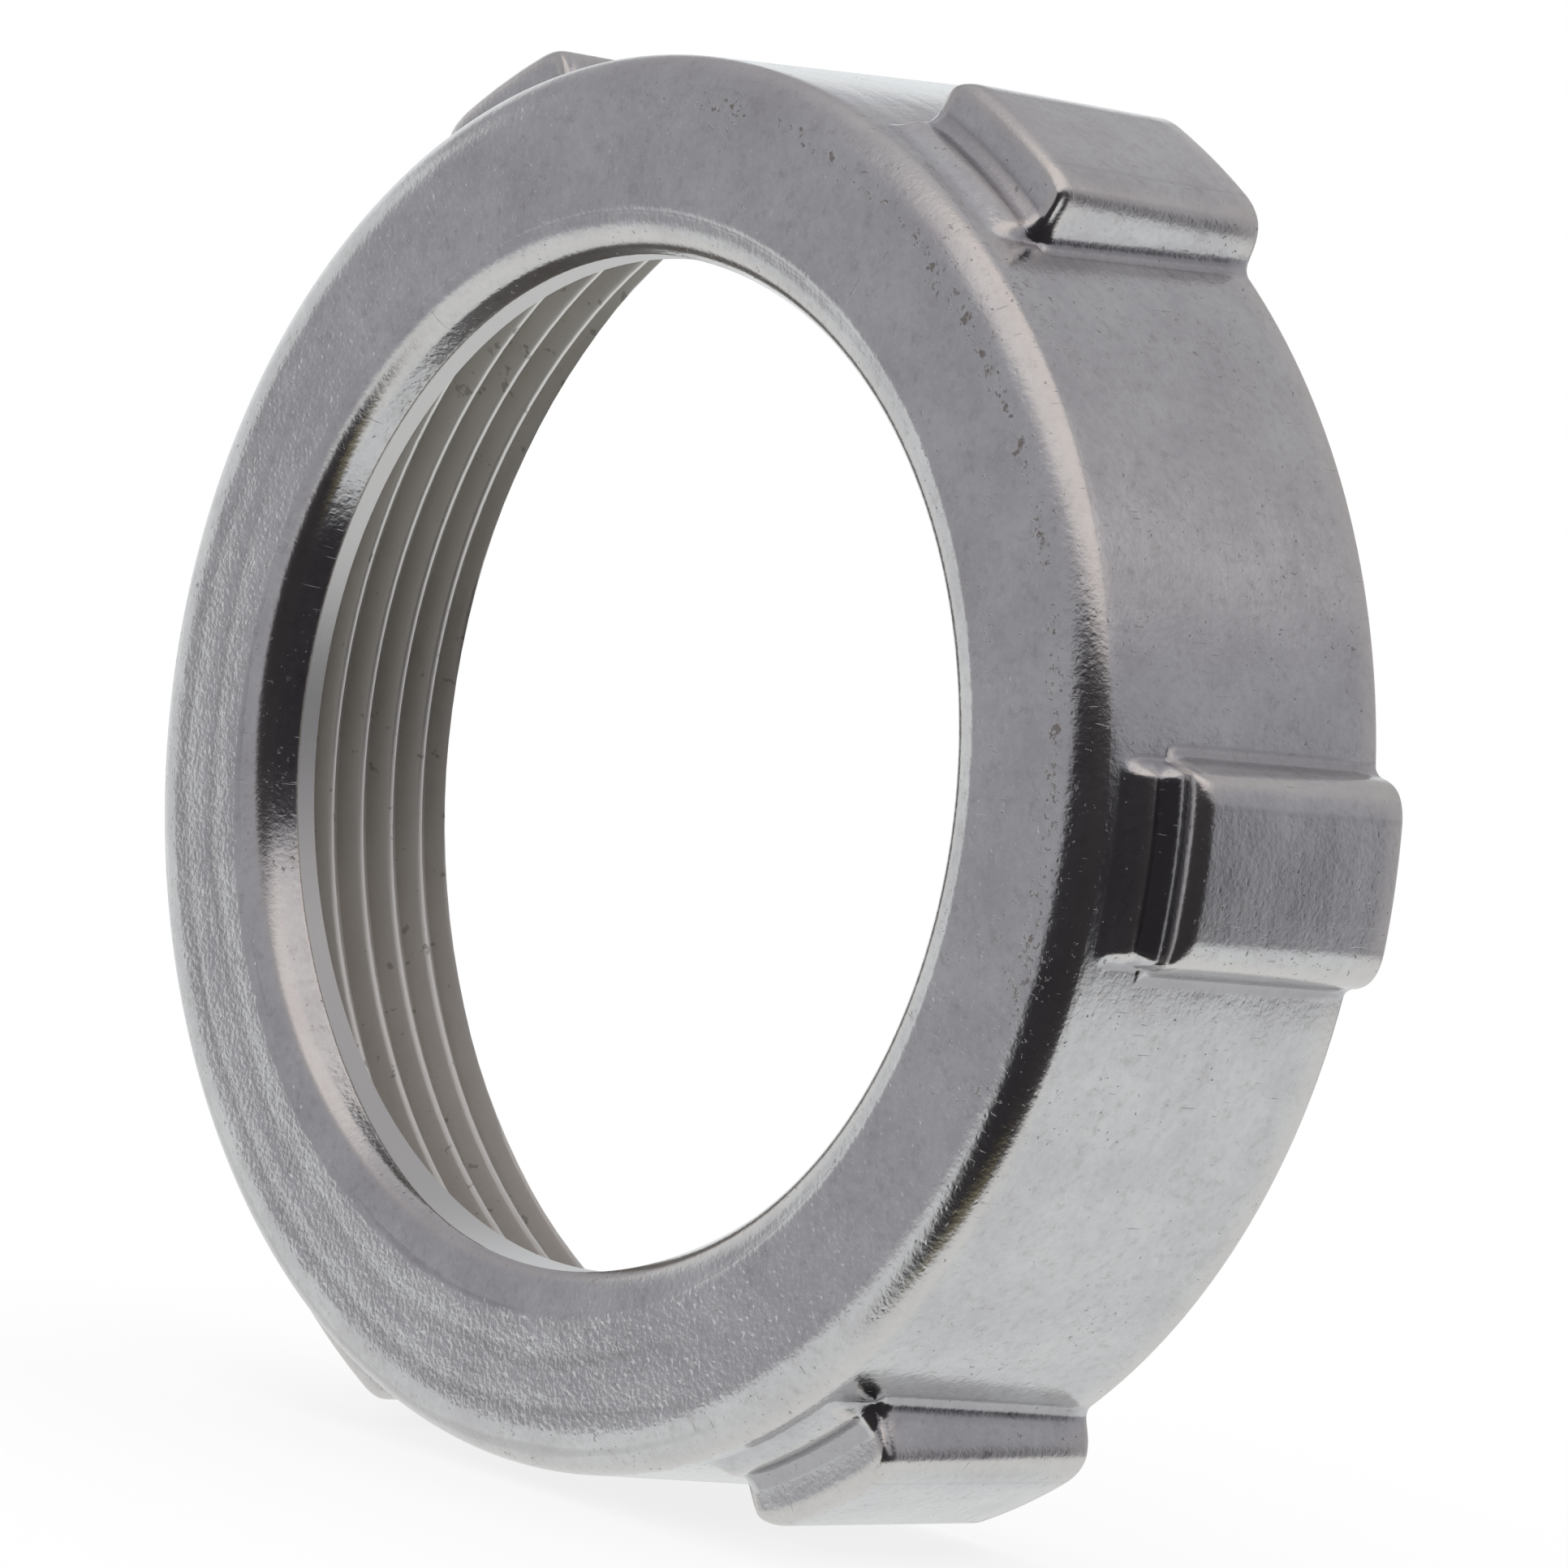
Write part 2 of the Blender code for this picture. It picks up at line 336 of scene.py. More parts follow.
# %% Rows behind the lip
THREAD_ROOT_RADIUS = 25.4
COUNTERSINK_RADIUS = 26.0
COUNTERSINK_SLOPE = 0.95 / 1.5
SEAT_ROWS = 4
SOCKET_ROWS = 7
SEAT_FROM_BORE = 1.0
SOCKET_CORNER = 0.3
SINK_SHORT = 0.05
SINK_CORNER = 0.04
SINK_BREAK = 0.06
seat_radius = evenly(BORE_RADIUS + SEAT_FROM_BORE, THREAD_ROOT_RADIUS - SOCKET_CORNER, SEAT_ROWS)
seat = np.stack([seat_radius, np.full(SEAT_ROWS, LIP_REAR_Y)], 1)
sink_y = REAR_Y - (COUNTERSINK_RADIUS - THREAD_ROOT_RADIUS) * COUNTERSINK_SLOPE
wall_y = evenly(LIP_REAR_Y + SOCKET_CORNER, sink_y, SOCKET_ROWS)
wall = np.stack([np.full(SOCKET_ROWS, THREAD_ROOT_RADIUS), wall_y], 1)
sink = np.array([
    (COUNTERSINK_RADIUS - SINK_SHORT, REAR_Y - SINK_CORNER),
    (COUNTERSINK_RADIUS + SINK_BREAK, REAR_Y),
])
behind = np.concatenate([seat, wall, sink])
print("rows behind the lip:", len(behind))

# %% [markdown]
# The rear face joins the countersink to the outside edge, so its outer row is the edge itself. With it the
# section closes, and the grid closes on itself both ways: one watertight skin.

# %% The cast skin as one grid
outside_radius, outside_y = outside_rows()
rim_grid = np.repeat(rim[1:, :, None], around.size, 2)
behind_grid = np.repeat(behind[:, :, None], around.size, 2)
face_y = np.full_like(face_radius, FRONT_Y)
inner_radius = np.concatenate([rim_grid[:, 0], face_radius, lip_radius, bore_radius, behind_grid[:, 0]])
inner_y = np.concatenate([rim_grid[:, 1], face_y, lip_y, bore_y, behind_grid[:, 1]])
REAR_ROWS = 6
share = evenly(0.0, 1.0, REAR_ROWS)[1:-1, None]
rear_radius = inner_radius[-1] + (outside_radius[0] - inner_radius[-1]) * share
rear_y = np.full_like(rear_radius, REAR_Y)
skin_radius = np.concatenate([outside_radius, inner_radius, rear_radius])
skin_y = np.concatenate([outside_y, inner_y, rear_y])
first_lip_row = len(outside_radius) + len(rim) - 1 + len(face_radius)
first_bore_row = first_lip_row + len(lip_radius) - 1
first_seat_row = first_bore_row + 1 + len(bore_radius)
last_socket_row = first_seat_row + len(seat) + len(wall)


def ring_points(radius, angle, y):
    """Points at a radius and angle round the Y axis, in metres: x is the cosine, z the sine."""
    return np.stack([radius * np.cos(angle), y, radius * np.sin(angle)], -1) * MM


def closed_grid(points):
    """Quads between each point and its neighbours in the next row and column, round both ways."""
    index = np.arange(points.shape[0] * points.shape[1]).reshape(points.shape[:2])
    along = np.roll(index, -1, 0)
    quads = np.stack([index, along, np.roll(along, -1, 1), np.roll(index, -1, 1)], -1)
    return quads.reshape(-1, 4)


def outward(points, quads):
    """Quads turned so that the volume that they enclose counts as positive."""
    corner = points.reshape(-1, 3)[quads]
    volume = np.einsum("ij,ij->i", corner[:, 0], np.cross(corner[:, 1], corner[:, 2])).sum()
    volume += np.einsum("ij,ij->i", corner[:, 0], np.cross(corner[:, 2], corner[:, 3])).sum()
    return quads if volume > 0.0 else quads[:, ::-1]


def skin_mesh(name, points, sharp_angle):
    """A smooth-shaded mesh of a grid that is closed both ways."""
    mesh = bpy.data.meshes.new(name)
    quads = outward(points, closed_grid(points))
    mesh.from_pydata(points.reshape(-1, 3).tolist(), [], quads.tolist())
    mesh.shade_smooth()
    mesh.set_sharp_from_angle(angle=math.radians(sharp_angle))
    piece = bpy.data.objects.new(name, mesh)
    bpy.context.scene.collection.objects.link(piece)
    return piece


SHARP_ANGLE = 40.0
casting = skin_mesh("cast_nut", ring_points(skin_radius, around[None, :], skin_y), SHARP_ANGLE)
print("casting:", len(casting.data.polygons), "quads")

# %% [markdown]
# Wear and painted light follow the shape: sharp edges are rubbed in the tumbling drum and also carry a
# painted highlight, and hollow corners are darkened with painted shade. Both follow from how sharply the skin
# bends, which is measured on the grid itself: along each section and round each ring. The finish reads them
# later as values kept on the mesh.

# %% Worn edges with a painted highlight, and painted shade in hollow corners


def bend(line):
    """How sharply closed lines of complex points turn: the angle between neighbours over their length."""
    ahead = np.roll(line, -1, 0) - line
    behind = np.roll(ahead, 1, 0)
    return np.angle(ahead / behind) / (0.5 * (np.abs(ahead) + np.abs(behind)))


def blurred(values, times):
    """Each value shared with its neighbours in both directions, a number of times."""
    for _ in range(times):
        for axis in (0, 1):
            values = 0.5 * values + 0.25 * (np.roll(values, 1, axis) + np.roll(values, -1, axis))
    return values


BEND_FROM = 0.25
BEND_RANGE = 0.9
section_bend = bend(skin_radius + 1j * skin_y)
section_bend *= np.sign(section_bend.mean())
ring_bend = bend((skin_radius * np.exp(1j * around)).T).T
ring_bend[len(outside_radius):] = 0.0
bending = blurred(section_bend + ring_bend, 2)
# Convex bends: worn edges, lightened with a painted highlight.
wear_and_highlight = soft_step((bending - BEND_FROM) / BEND_RANGE)
# Concave bends: darkened with painted shade in the hollows.
hollow_shade = soft_step((-bending - BEND_FROM) / BEND_RANGE)
print("rubbed share", round(float(wear_and_highlight.mean()), 3), "grimy share", round(float(hollow_shade.mean()), 3))


def store(piece, name, values):
    """One number per point, kept on the mesh under a name."""
    layer = piece.data.attributes.new(name, "FLOAT", "POINT")
    layer.data.foreach_set("value", np.ascontiguousarray(values, dtype=np.float32).ravel())


store(casting, "wear_and_highlight", wear_and_highlight)

# %% [markdown]
# Some marks lie where the nut was handled, not where it bends: a line of brown dirt where the front face
# meets the rim, and a lower left that took most of the knocks. A dark line of painted shade also runs along
# each side of a lug's top. Each is a smooth patch, written as a formula of radius and angle and kept on the
# mesh.
# Each is a smooth patch, written as a formula of radius and angle and kept on the mesh.

# %% Dirt, painted shade on the lug tops, and knocks
DIRT_RADIUS = 25.65
DIRT_WIDTH = 0.45
DIRT_MIDDLE = math.radians(38.0)
DIRT_FROM = 0.35
DIRT_FADE = 0.5
CREASE_FROM_MIDDLE = 2.42
CREASE_WIDTH = 0.1
CREASE_SHADE = 0.45
CREASE_ABOVE = 0.6
CREASE_BEHIND = 1.0
KNOCKED_MIDDLE = math.radians(228.0)
KNOCKED_EVERYWHERE = 0.2
KNOCKED_FROM = -0.1
KNOCKED_FADE = 0.9

on_front = (skin_y < FRONT_Y + RIM_DEPTH) & (skin_radius > LIP_STEP_RADIUS)
dirt = np.exp(-((skin_radius - DIRT_RADIUS) / DIRT_WIDTH) ** 2) * on_front
dirt *= soft_step((np.cos(around - DIRT_MIDDLE) - DIRT_FROM) / DIRT_FADE)
store(casting, "dirt", dirt)

from_lug = from_nearest_lug(around) * (REAR_RADIUS + lug_heights(around))
on_lug = (skin_radius > REAR_RADIUS + CREASE_ABOVE) & (skin_y > LUG_FOOT_Y + CREASE_BEHIND)
crease_shade = np.exp(-((from_lug - CREASE_FROM_MIDDLE) / CREASE_WIDTH) ** 2) * on_lug
# The lug-top lines are stored with the hollows: both are painted shade.
store(casting, "hollow_shade", np.maximum(hollow_shade, CREASE_SHADE * crease_shade))

near_knocks = soft_step((np.cos(around - KNOCKED_MIDDLE) - KNOCKED_FROM) / KNOCKED_FADE)
knocked = on_front * (KNOCKED_EVERYWHERE + (1.0 - KNOCKED_EVERYWHERE) * near_knocks)
store(casting, "knocked", knocked)
print("knocked share", round(float(knocked.mean()), 3), "dirt share", round(float(dirt.mean()), 4))

# %% [markdown]
# The thread is a ridge wound inside the socket: sixteen turns to the inch. It could be cut with a screw
# modifier, but here a ridge section is simply carried along a helix, which keeps its ends in hand: it fades
# out before the lip, and at the open end the countersink shaves it down.

# %% The thread's ridge
PITCH = 25.4 / 16.0
THREAD_DEPTH = 0.92
CREST_HALF_WIDTH = 0.10
RIDGE_HALF_WIDTH = 0.64
RIDGE_SINK = 0.15
CREST_FROM_REAR = 2.28
FIRST_CREST = 0.35
LAST_CREST = 11.05
FADE_TURN = math.radians(50.0)
CUT_CLEARANCE = 0.02
ROOT_CLEARANCE = 0.03
REAR_CLEARANCE = 0.1
RIDGE_EDGE = 0.70
RIDGE_FOOT = 0.72
RIDGE_ROWS = 25
WINDING_STEP = math.radians(3.0)
THREAD_SHARP_ANGLE = 50.0

ridge_start = math.pi + (FIRST_CREST - CREST_FROM_REAR) / PITCH * 2.0 * math.pi
ridge_end = math.pi + (LAST_CREST - CREST_FROM_REAR) / PITCH * 2.0 * math.pi
winding = np.arange(ridge_start, ridge_end, WINDING_STEP)[None, :]
ridge_rows = evenly(-RIDGE_EDGE, RIDGE_EDGE, RIDGE_ROWS)
across = np.concatenate([[-RIDGE_FOOT], ridge_rows, [RIDGE_FOOT]])[:, None]
ramp = (RIDGE_HALF_WIDTH - np.abs(across)) / (RIDGE_HALF_WIDTH - CREST_HALF_WIDTH)
ridge_height = THREAD_DEPTH * np.clip(ramp, 0.0, 1.0)
ridge_height[[0, -1]] = -RIDGE_SINK
fade = soft_step(np.minimum(winding - ridge_start, ridge_end - winding) / FADE_TURN)
from_rear = CREST_FROM_REAR + PITCH * (winding - math.pi) / (2.0 * math.pi) + across
faded_height = ridge_height * np.where(ridge_height > 0.0, fade, 1.0)
ridge_radius = THREAD_ROOT_RADIUS + ROOT_CLEARANCE - faded_height
shaved = COUNTERSINK_RADIUS + CUT_CLEARANCE - from_rear / COUNTERSINK_SLOPE
ridge_radius = np.maximum(ridge_radius, shaved)
ridge_y = np.minimum(REAR_Y - from_rear, REAR_Y - REAR_CLEARANCE)


def tube_quads(points):
    """Quads between rows that close on themselves, with one face to cap each end of the path."""
    count, steps = points.shape[:2]
    index = np.arange(count * steps).reshape(count, steps)
    along = np.roll(index, -1, 0)
    quads = np.stack([index[:, :-1], along[:, :-1], along[:, 1:], index[:, 1:]], -1)
    return quads.reshape(-1, 4), [index[::-1, 0].tolist(), index[:, -1].tolist()]


ridge_points = ring_points(ridge_radius, winding, ridge_y)
ridge_quads, ridge_caps = tube_quads(ridge_points)
thread_mesh = bpy.data.meshes.new("thread_ridge")
thread_mesh.from_pydata(ridge_points.reshape(-1, 3).tolist(), [], ridge_quads.tolist() + ridge_caps)
thread_mesh.shade_smooth()
thread_mesh.set_sharp_from_angle(angle=math.radians(THREAD_SHARP_ANGLE))
thread = bpy.data.objects.new("thread_ridge", thread_mesh)
bpy.context.scene.collection.objects.link(thread)
# On the thread this value is a painted highlight on the crests.
store(thread, "wear_and_highlight", np.clip(ridge_height / THREAD_DEPTH, 0.0, 1.0) ** 4 + 0.0 * winding)
thread_turns = (ridge_end - ridge_start) / (2.0 * math.pi)
print("thread:", round(thread_turns, 2), "turns,", len(thread_mesh.polygons), "faces")

# %% [markdown]
# The finishes share a few effects, and each is a node group: pits left by the casting, scratches from the
# tumbling drum, and the soft hammered look of the skin. All of them read the object's own coordinates.

# %% Helpers for shader nodes


def put(tree, kind, values=None, **settings):
    """A new node with its settings; values go to its inputs by name or number, and a socket is linked."""
    node = tree.nodes.new("ShaderNode" + kind)
    for setting, value in settings.items():
        setattr(node, setting, value)
    for name, value in (values or {}).items():
        if isinstance(value, bpy.types.NodeSocket):
            tree.links.new(value, node.inputs[name])
        else:
            node.inputs[name].default_value = value
    return node


def sums(tree, operation, first, second=0.0, third=0.0):
    """One arithmetic step on up to three numbers or sockets."""
    return put(tree, "Math", {0: first, 1: second, 2: third}, operation=operation).outputs[0]


def smooth_step(tree, value, low, high):
    """Zero below low, one above high, with a soft change between."""
    values = {"Value": value, "From Min": low, "From Max": high}
    return put(tree, "MapRange", values, interpolation_type="SMOOTHSTEP").outputs[0]


def mix_colours(tree, share, first, second):
    """Two colours mixed by a share from 0 to 1."""
    return put(tree, "Mix", {0: share, 6: first, 7: second}, data_type="RGBA").outputs[2]


def cover(tree, tone, share, strength, colour):
    """A colour laid over a tone where its share says so, at a strength."""
    return mix_colours(tree, sums(tree, "MULTIPLY", share, strength), tone, colour)


def stretched(tree, place, by):
    """Coordinates multiplied axis by axis, so that a pattern read from them is drawn out."""
    return put(tree, "VectorMath", {0: place, 1: by}, operation="MULTIPLY").outputs[0]


def noise(tree, place, scale, detail=2.0, roughness=0.5):
    """Cloudy noise around one half."""
    values = {"Vector": place, "Scale": scale, "Detail": detail, "Roughness": roughness}
    return put(tree, "TexNoise", values).outputs[0]


def new_group(name, inputs, outputs):
    """An empty node group with named inputs and outputs."""
    group = bpy.data.node_groups.new(name, "ShaderNodeTree")
    for label, kind, value in inputs:
        socket = group.interface.new_socket(label, in_out="INPUT", socket_type="NodeSocket" + kind)
        if value is not None:
            socket.default_value = value
    for label, kind in outputs:
        group.interface.new_socket(label, in_out="OUTPUT", socket_type="NodeSocket" + kind)
    return group, group.nodes.new("NodeGroupInput").outputs, group.nodes.new("NodeGroupOutput").inputs


def use_group(tree, group, values):
    """A node group placed in a material with its own values; gives its outputs."""
    return put(tree, "Group", values, node_tree=group).outputs


# %% [markdown]
# Marks that run round the ring need coordinates that do so too. Two numbers go round the ring without a
# seam, and the third goes along the section: radius plus y.

# %% Round the axis
axis_group, given, result = new_group(
    "round_the_axis", [("Place", "Vector", None)], [("Wound", "Vector")],
)
tree = axis_group
parts = put(tree, "SeparateXYZ", {0: given["Place"]}).outputs
squares = sums(tree, "MULTIPLY_ADD", parts[0], parts[0], sums(tree, "MULTIPLY", parts[2], parts[2]))
from_axis = sums(tree, "SQRT", squares)
to_ring = sums(tree, "DIVIDE", REAR_RADIUS, from_axis)
wound = put(tree, "CombineXYZ", {
    0: sums(tree, "MULTIPLY", parts[0], to_ring),
    1: sums(tree, "MULTIPLY", parts[2], to_ring),
    2: sums(tree, "ADD", from_axis, parts[1]),
}).outputs[0]
tree.links.new(wound, result["Wound"])
print("group:", axis_group.name)

# %% Specks of dirt and small pits
speck_group, given, result = new_group(
    "specks",
    [
        ("Place", "Vector", None), ("Per mm", "Float", 3.0),
        ("Cut", "Float", 0.66), ("Patchy", "Float", 0.5),
    ],
    [("Speck", "Float")],
)
tree = speck_group
cloud = noise(tree, given["Place"], given["Per mm"], 2.0, 0.6)
patch = noise(tree, given["Place"], 0.18, 2.0, 0.6)
lowered = sums(tree, "MULTIPLY_ADD", sums(tree, "SUBTRACT", 0.5, patch), given["Patchy"], given["Cut"])
SPECK_EDGE = 0.05
full = sums(tree, "ADD", lowered, SPECK_EDGE)
speck = put(tree, "MapRange", {"Value": cloud, "From Min": lowered, "From Max": full}).outputs[0]
tree.links.new(speck, result["Speck"])
print("group:", speck_group.name)

# %% Dimples from knocks in the drum
dimple_group, given, result = new_group(
    "dimples",
    [("Place", "Vector", None), ("Per mm", "Float", 1.3), ("Share", "Float", 0.5)],
    [("Depth", "Float")],
)
tree = dimple_group
wobble = put(tree, "TexNoise", {"Vector": given["Place"], "Scale": 2.0}).outputs["Color"]
SHAKE = (0.3, 0.3, 0.3)
shaken = put(
    tree, "VectorMath", {0: wobble, 1: SHAKE, 2: given["Place"]}, operation="MULTIPLY_ADD",
).outputs[0]
cells = put(tree, "TexVoronoi", {"Vector": shaken, "Scale": given["Per mm"]})
chance = put(tree, "SeparateColor", {0: cells.outputs["Color"]}).outputs
chosen = sums(tree, "LESS_THAN", chance[0], given["Share"])
SMALLEST_REACH = 0.22
MORE_REACH = 0.22
reach = sums(tree, "MULTIPLY_ADD", chance[1], MORE_REACH, SMALLEST_REACH)
hollow = smooth_step(tree, cells.outputs["Distance"], reach, 0.0)
tree.links.new(sums(tree, "MULTIPLY", chosen, hollow), result["Depth"])
print("group:", dimple_group.name)

# %% Scratches along one direction
scratch_group, given, result = new_group(
    "scratches",
    [("Place", "Vector", None), ("Stretch", "Vector", (1.0, 1.0, 1.0)), ("Cut", "Float", 0.66)],
    [("Scratch", "Float")],
)
tree = scratch_group
lines = noise(tree, stretched(tree, given["Place"], given["Stretch"]), 1.0, 2.0, 0.55)
patches = smooth_step(tree, noise(tree, given["Place"], 0.25, 1.0), 0.42, 0.60)
SCRATCH_EDGE = 0.05
full = sums(tree, "ADD", given["Cut"], SCRATCH_EDGE)
line = put(tree, "MapRange", {"Value": lines, "From Min": given["Cut"], "From Max": full}).outputs[0]
tree.links.new(sums(tree, "MULTIPLY", line, patches), result["Scratch"])
print("group:", scratch_group.name)

# %% The hammered skin
skin_group, given, result = new_group(
    "hammered_skin",
    [
        ("Place", "Vector", None), ("Waves", "Float", 0.03),
        ("Peen", "Float", 0.01), ("Grain", "Float", 0.002),
    ],
    [("Height", "Float"), ("Tone", "Float")],
)
tree = skin_group
waves = sums(tree, "MULTIPLY", noise(tree, given["Place"], 0.35, 2.0, 0.5), given["Waves"])
peening = sums(tree, "MULTIPLY_ADD", noise(tree, given["Place"], 4.6, 1.5, 0.5), given["Peen"], waves)
grains = sums(tree, "MULTIPLY_ADD", noise(tree, given["Place"], 9.0, 2.0, 0.6), given["Grain"], peening)
tree.links.new(grains, result["Height"])
clouds = sums(tree, "MULTIPLY", noise(tree, given["Place"], 0.3, 3.0, 0.65), 0.6)
mottle = sums(tree, "MULTIPLY", noise(tree, given["Place"], 3.0, 3.0, 0.7), 0.4)
tree.links.new(sums(tree, "ADD", clouds, mottle), result["Tone"])
print("group:", skin_group.name)

# %% [markdown]
# The cast skin is bright zinc that was tumbled smooth: grey as a whole, a little uneven, with dark specks.
# Painted textures would do as well, but patterns made from noise stay sharp at any distance. First the
# marks are placed, then the colour is laid on in coats, then the relief is added up.

# %% Helpers for the finishes


def new_material(name):
    """An empty metal material: its node tree, its shader and its coordinates in millimetres."""
    material = bpy.data.materials.new(name)
    material.use_nodes = True
    tree = material.node_tree
    shader = tree.nodes["Principled BSDF"]
    shader.inputs["Metallic"].default_value = 1.0
    place = put(tree, "TexCoord").outputs["Object"]
    place = put(tree, "VectorMath", {0: place, "Scale": 1.0 / MM}, operation="SCALE").outputs[0]
    return material, tree, shader, place


def stored(tree, name):
    """A value kept on the mesh."""
    return put(tree, "Attribute", None, attribute_name=name).outputs["Fac"]


def coat_metal(tree, shader, tone, relief, strength, distance):
    """Colour and relief joined to the metal; the relief's heights count in the distance."""
    tree.links.new(tone, shader.inputs["Base Color"])
    bump = put(tree, "Bump", {"Height": relief, "Strength": strength, "Distance": distance})
    tree.links.new(bump.outputs[0], shader.inputs["Normal"])


# %% Where the marks on the cast skin lie
RIPPLE_LENGTH = 1.9
RIPPLE_RATE = 2.0 * math.pi / RIPPLE_LENGTH
RIPPLE_SWAY = 5.0
FLOW_STRETCH = (0.07, 0.07, 0.5)
DIMPLE_STRETCH = (0.7, 0.7, 1.0)
FINE_SPECKS = {"Per mm": 4.2, "Patchy": 0.3}
BIG_SPECKS = {"Per mm": 1.7, "Cut": 0.76, "Patchy": 0.3}
DIRT_SPECKS = {"Per mm": 2.4, "Patchy": 0.25}
ROUND_SCRATCHES = {"Stretch": (0.9, 0.9, 7.0), "Cut": 0.74}
AXIAL_SCRATCHES = {"Stretch": (8.0, 8.0, 0.7), "Cut": 0.70}
DIMPLES = {"Per mm": 3.0, "Share": 0.5}

cast_zinc, tree, shader, place = new_material("cast_zinc_skin")
wound = use_group(tree, axis_group, {"Place": place})["Wound"]
# The first two stored values carry painted light: a highlight on worn edges, and shade in hollows.
wear_and_highlight_here, hollow_shade_here = stored(tree, "wear_and_highlight"), stored(tree, "hollow_shade")
dirt_here, knocked_here = stored(tree, "dirt"), stored(tree, "knocked")
flow = noise(tree, stretched(tree, wound, FLOW_STRETCH), 1.0, 2.0, 0.5)
along_section = put(tree, "SeparateXYZ", {0: wound}).outputs[2]
even_turn = sums(tree, "MULTIPLY", along_section, RIPPLE_RATE)
ripple_turn = sums(tree, "MULTIPLY_ADD", flow, RIPPLE_SWAY, even_turn)
ripple = sums(tree, "MULTIPLY", sums(tree, "SINE", ripple_turn), knocked_here)
# The darker colour in the ripple troughs is painted shade.
trough_shade = smooth_step(tree, ripple, -0.45, -0.95)
smudges = smooth_step(tree, noise(tree, place, 2.0, 4.0, 0.72), 0.50, 0.74)
fine_cut = sums(tree, "MULTIPLY_ADD", dirt_here, -0.11, 0.70)
dirt_cut = sums(tree, "MULTIPLY_ADD", dirt_here, -0.22, 0.82)
fine_specks = use_group(tree, speck_group, {"Place": place, "Cut": fine_cut, **FINE_SPECKS})["Speck"]
dirt_specks = use_group(tree, speck_group, {"Place": place, "Cut": dirt_cut, **DIRT_SPECKS})["Speck"]
big_specks = use_group(tree, speck_group, {"Place": wound, **BIG_SPECKS})["Speck"]
specks = sums(tree, "MAXIMUM", fine_specks, big_specks)
along_arc = use_group(tree, scratch_group, {"Place": wound, **ROUND_SCRATCHES})["Scratch"]
along_axis = use_group(tree, scratch_group, {"Place": wound, **AXIAL_SCRATCHES})["Scratch"]
scratches = sums(tree, "MAXIMUM", along_arc, along_axis)
dimple_place = stretched(tree, wound, DIMPLE_STRETCH)
dimples = use_group(tree, dimple_group, {"Place": dimple_place, **DIMPLES})["Depth"]
print("marks: ripples", RIPPLE_LENGTH, "mm apart, fine specks", FINE_SPECKS["Per mm"], "per mm")

# %% The skin under the marks
WAVES = 0.03
PEEN = 0.008
PEEN_WHERE_KNOCKED = 0.014
GRAIN = 0.002
GRAIN_WHERE_RUBBED = 0.003
peen_here = sums(tree, "MULTIPLY_ADD", knocked_here, PEEN_WHERE_KNOCKED, PEEN)
grain_here = sums(tree, "MULTIPLY_ADD", wear_and_highlight_here, GRAIN_WHERE_RUBBED, GRAIN)
skin = use_group(tree, skin_group, {
    "Place": place, "Waves": WAVES, "Peen": peen_here, "Grain": grain_here,
})
print("skin: waves", WAVES, "mm, peening", PEEN, "to", PEEN + PEEN_WHERE_KNOCKED, "mm high")

# %% Colour of the cast skin
DARK_ZINC = (0.52, 0.512, 0.527, 1.0)
LIGHT_ZINC = (0.63, 0.632, 0.64, 1.0)
SMUDGE_GREY = (0.36, 0.345, 0.335, 1.0)
TROUGH_SHADE_GREY = (0.34, 0.325, 0.325, 1.0)
WORN_HIGHLIGHT_ZINC = (0.69, 0.655, 0.625, 1.0)
HOLLOW_SHADE_GREY = (0.30, 0.29, 0.31, 1.0)
SPECK_BROWN = (0.22, 0.195, 0.175, 1.0)
DIRT_BROWN = (0.21, 0.17, 0.14, 1.0)
SCRATCH_GREY = (0.27, 0.26, 0.25, 1.0)

# Three coats are painted light: a highlight on worn edges, shade in hollows and lug-top lines, and shade in
# the ripple troughs.
coats = [
    (smudges, 0.45, SMUDGE_GREY),
    (trough_shade, 0.32, TROUGH_SHADE_GREY),
    (wear_and_highlight_here, 0.55, WORN_HIGHLIGHT_ZINC),
    (hollow_shade_here, 0.55, HOLLOW_SHADE_GREY),
    (specks, 0.55, SPECK_BROWN),
    (dirt_specks, 0.7, DIRT_BROWN),
    (scratches, 0.45, SCRATCH_GREY),
]
tone = mix_colours(tree, smooth_step(tree, skin["Tone"], 0.3, 0.7), DARK_ZINC, LIGHT_ZINC)
for share, strength, colour in coats:
    tone = cover(tree, tone, share, strength, colour)
print("coats of colour:", len(coats))

# %% Gloss and relief of the cast skin
SMOOTHEST = 0.10
ROUGHEST = 0.20
RUBBED_ROUGHER = 0.06
SPECK_ROUGHER = 0.2
DIMPLE_DEPTH = -0.003
DIMPLE_WHERE_KNOCKED = -0.013
uneven = {"Value": skin["Tone"], "To Min": SMOOTHEST, "To Max": ROUGHEST}
rough = put(tree, "MapRange", uneven).outputs[0]
rough = sums(tree, "MULTIPLY_ADD", wear_and_highlight_here, RUBBED_ROUGHER, rough)
rough = sums(tree, "MULTIPLY_ADD", specks, SPECK_ROUGHER, rough)
tree.links.new(rough, shader.inputs["Roughness"])
dimple_depth = sums(tree, "MULTIPLY_ADD", knocked_here, DIMPLE_WHERE_KNOCKED, DIMPLE_DEPTH)
heights = [
    (flow, 0.03),
    (ripple, 0.006),
    (dimples, dimple_depth),
    (specks, -0.006),
    (scratches, -0.006),
]
relief = skin["Height"]
for mark, height in heights:
    relief = sums(tree, "MULTIPLY_ADD", mark, height, relief)
coat_metal(tree, shader, tone, relief, 1.0, MM)
casting.data.materials.append(cast_zinc)
print("finish:", cast_zinc.name)

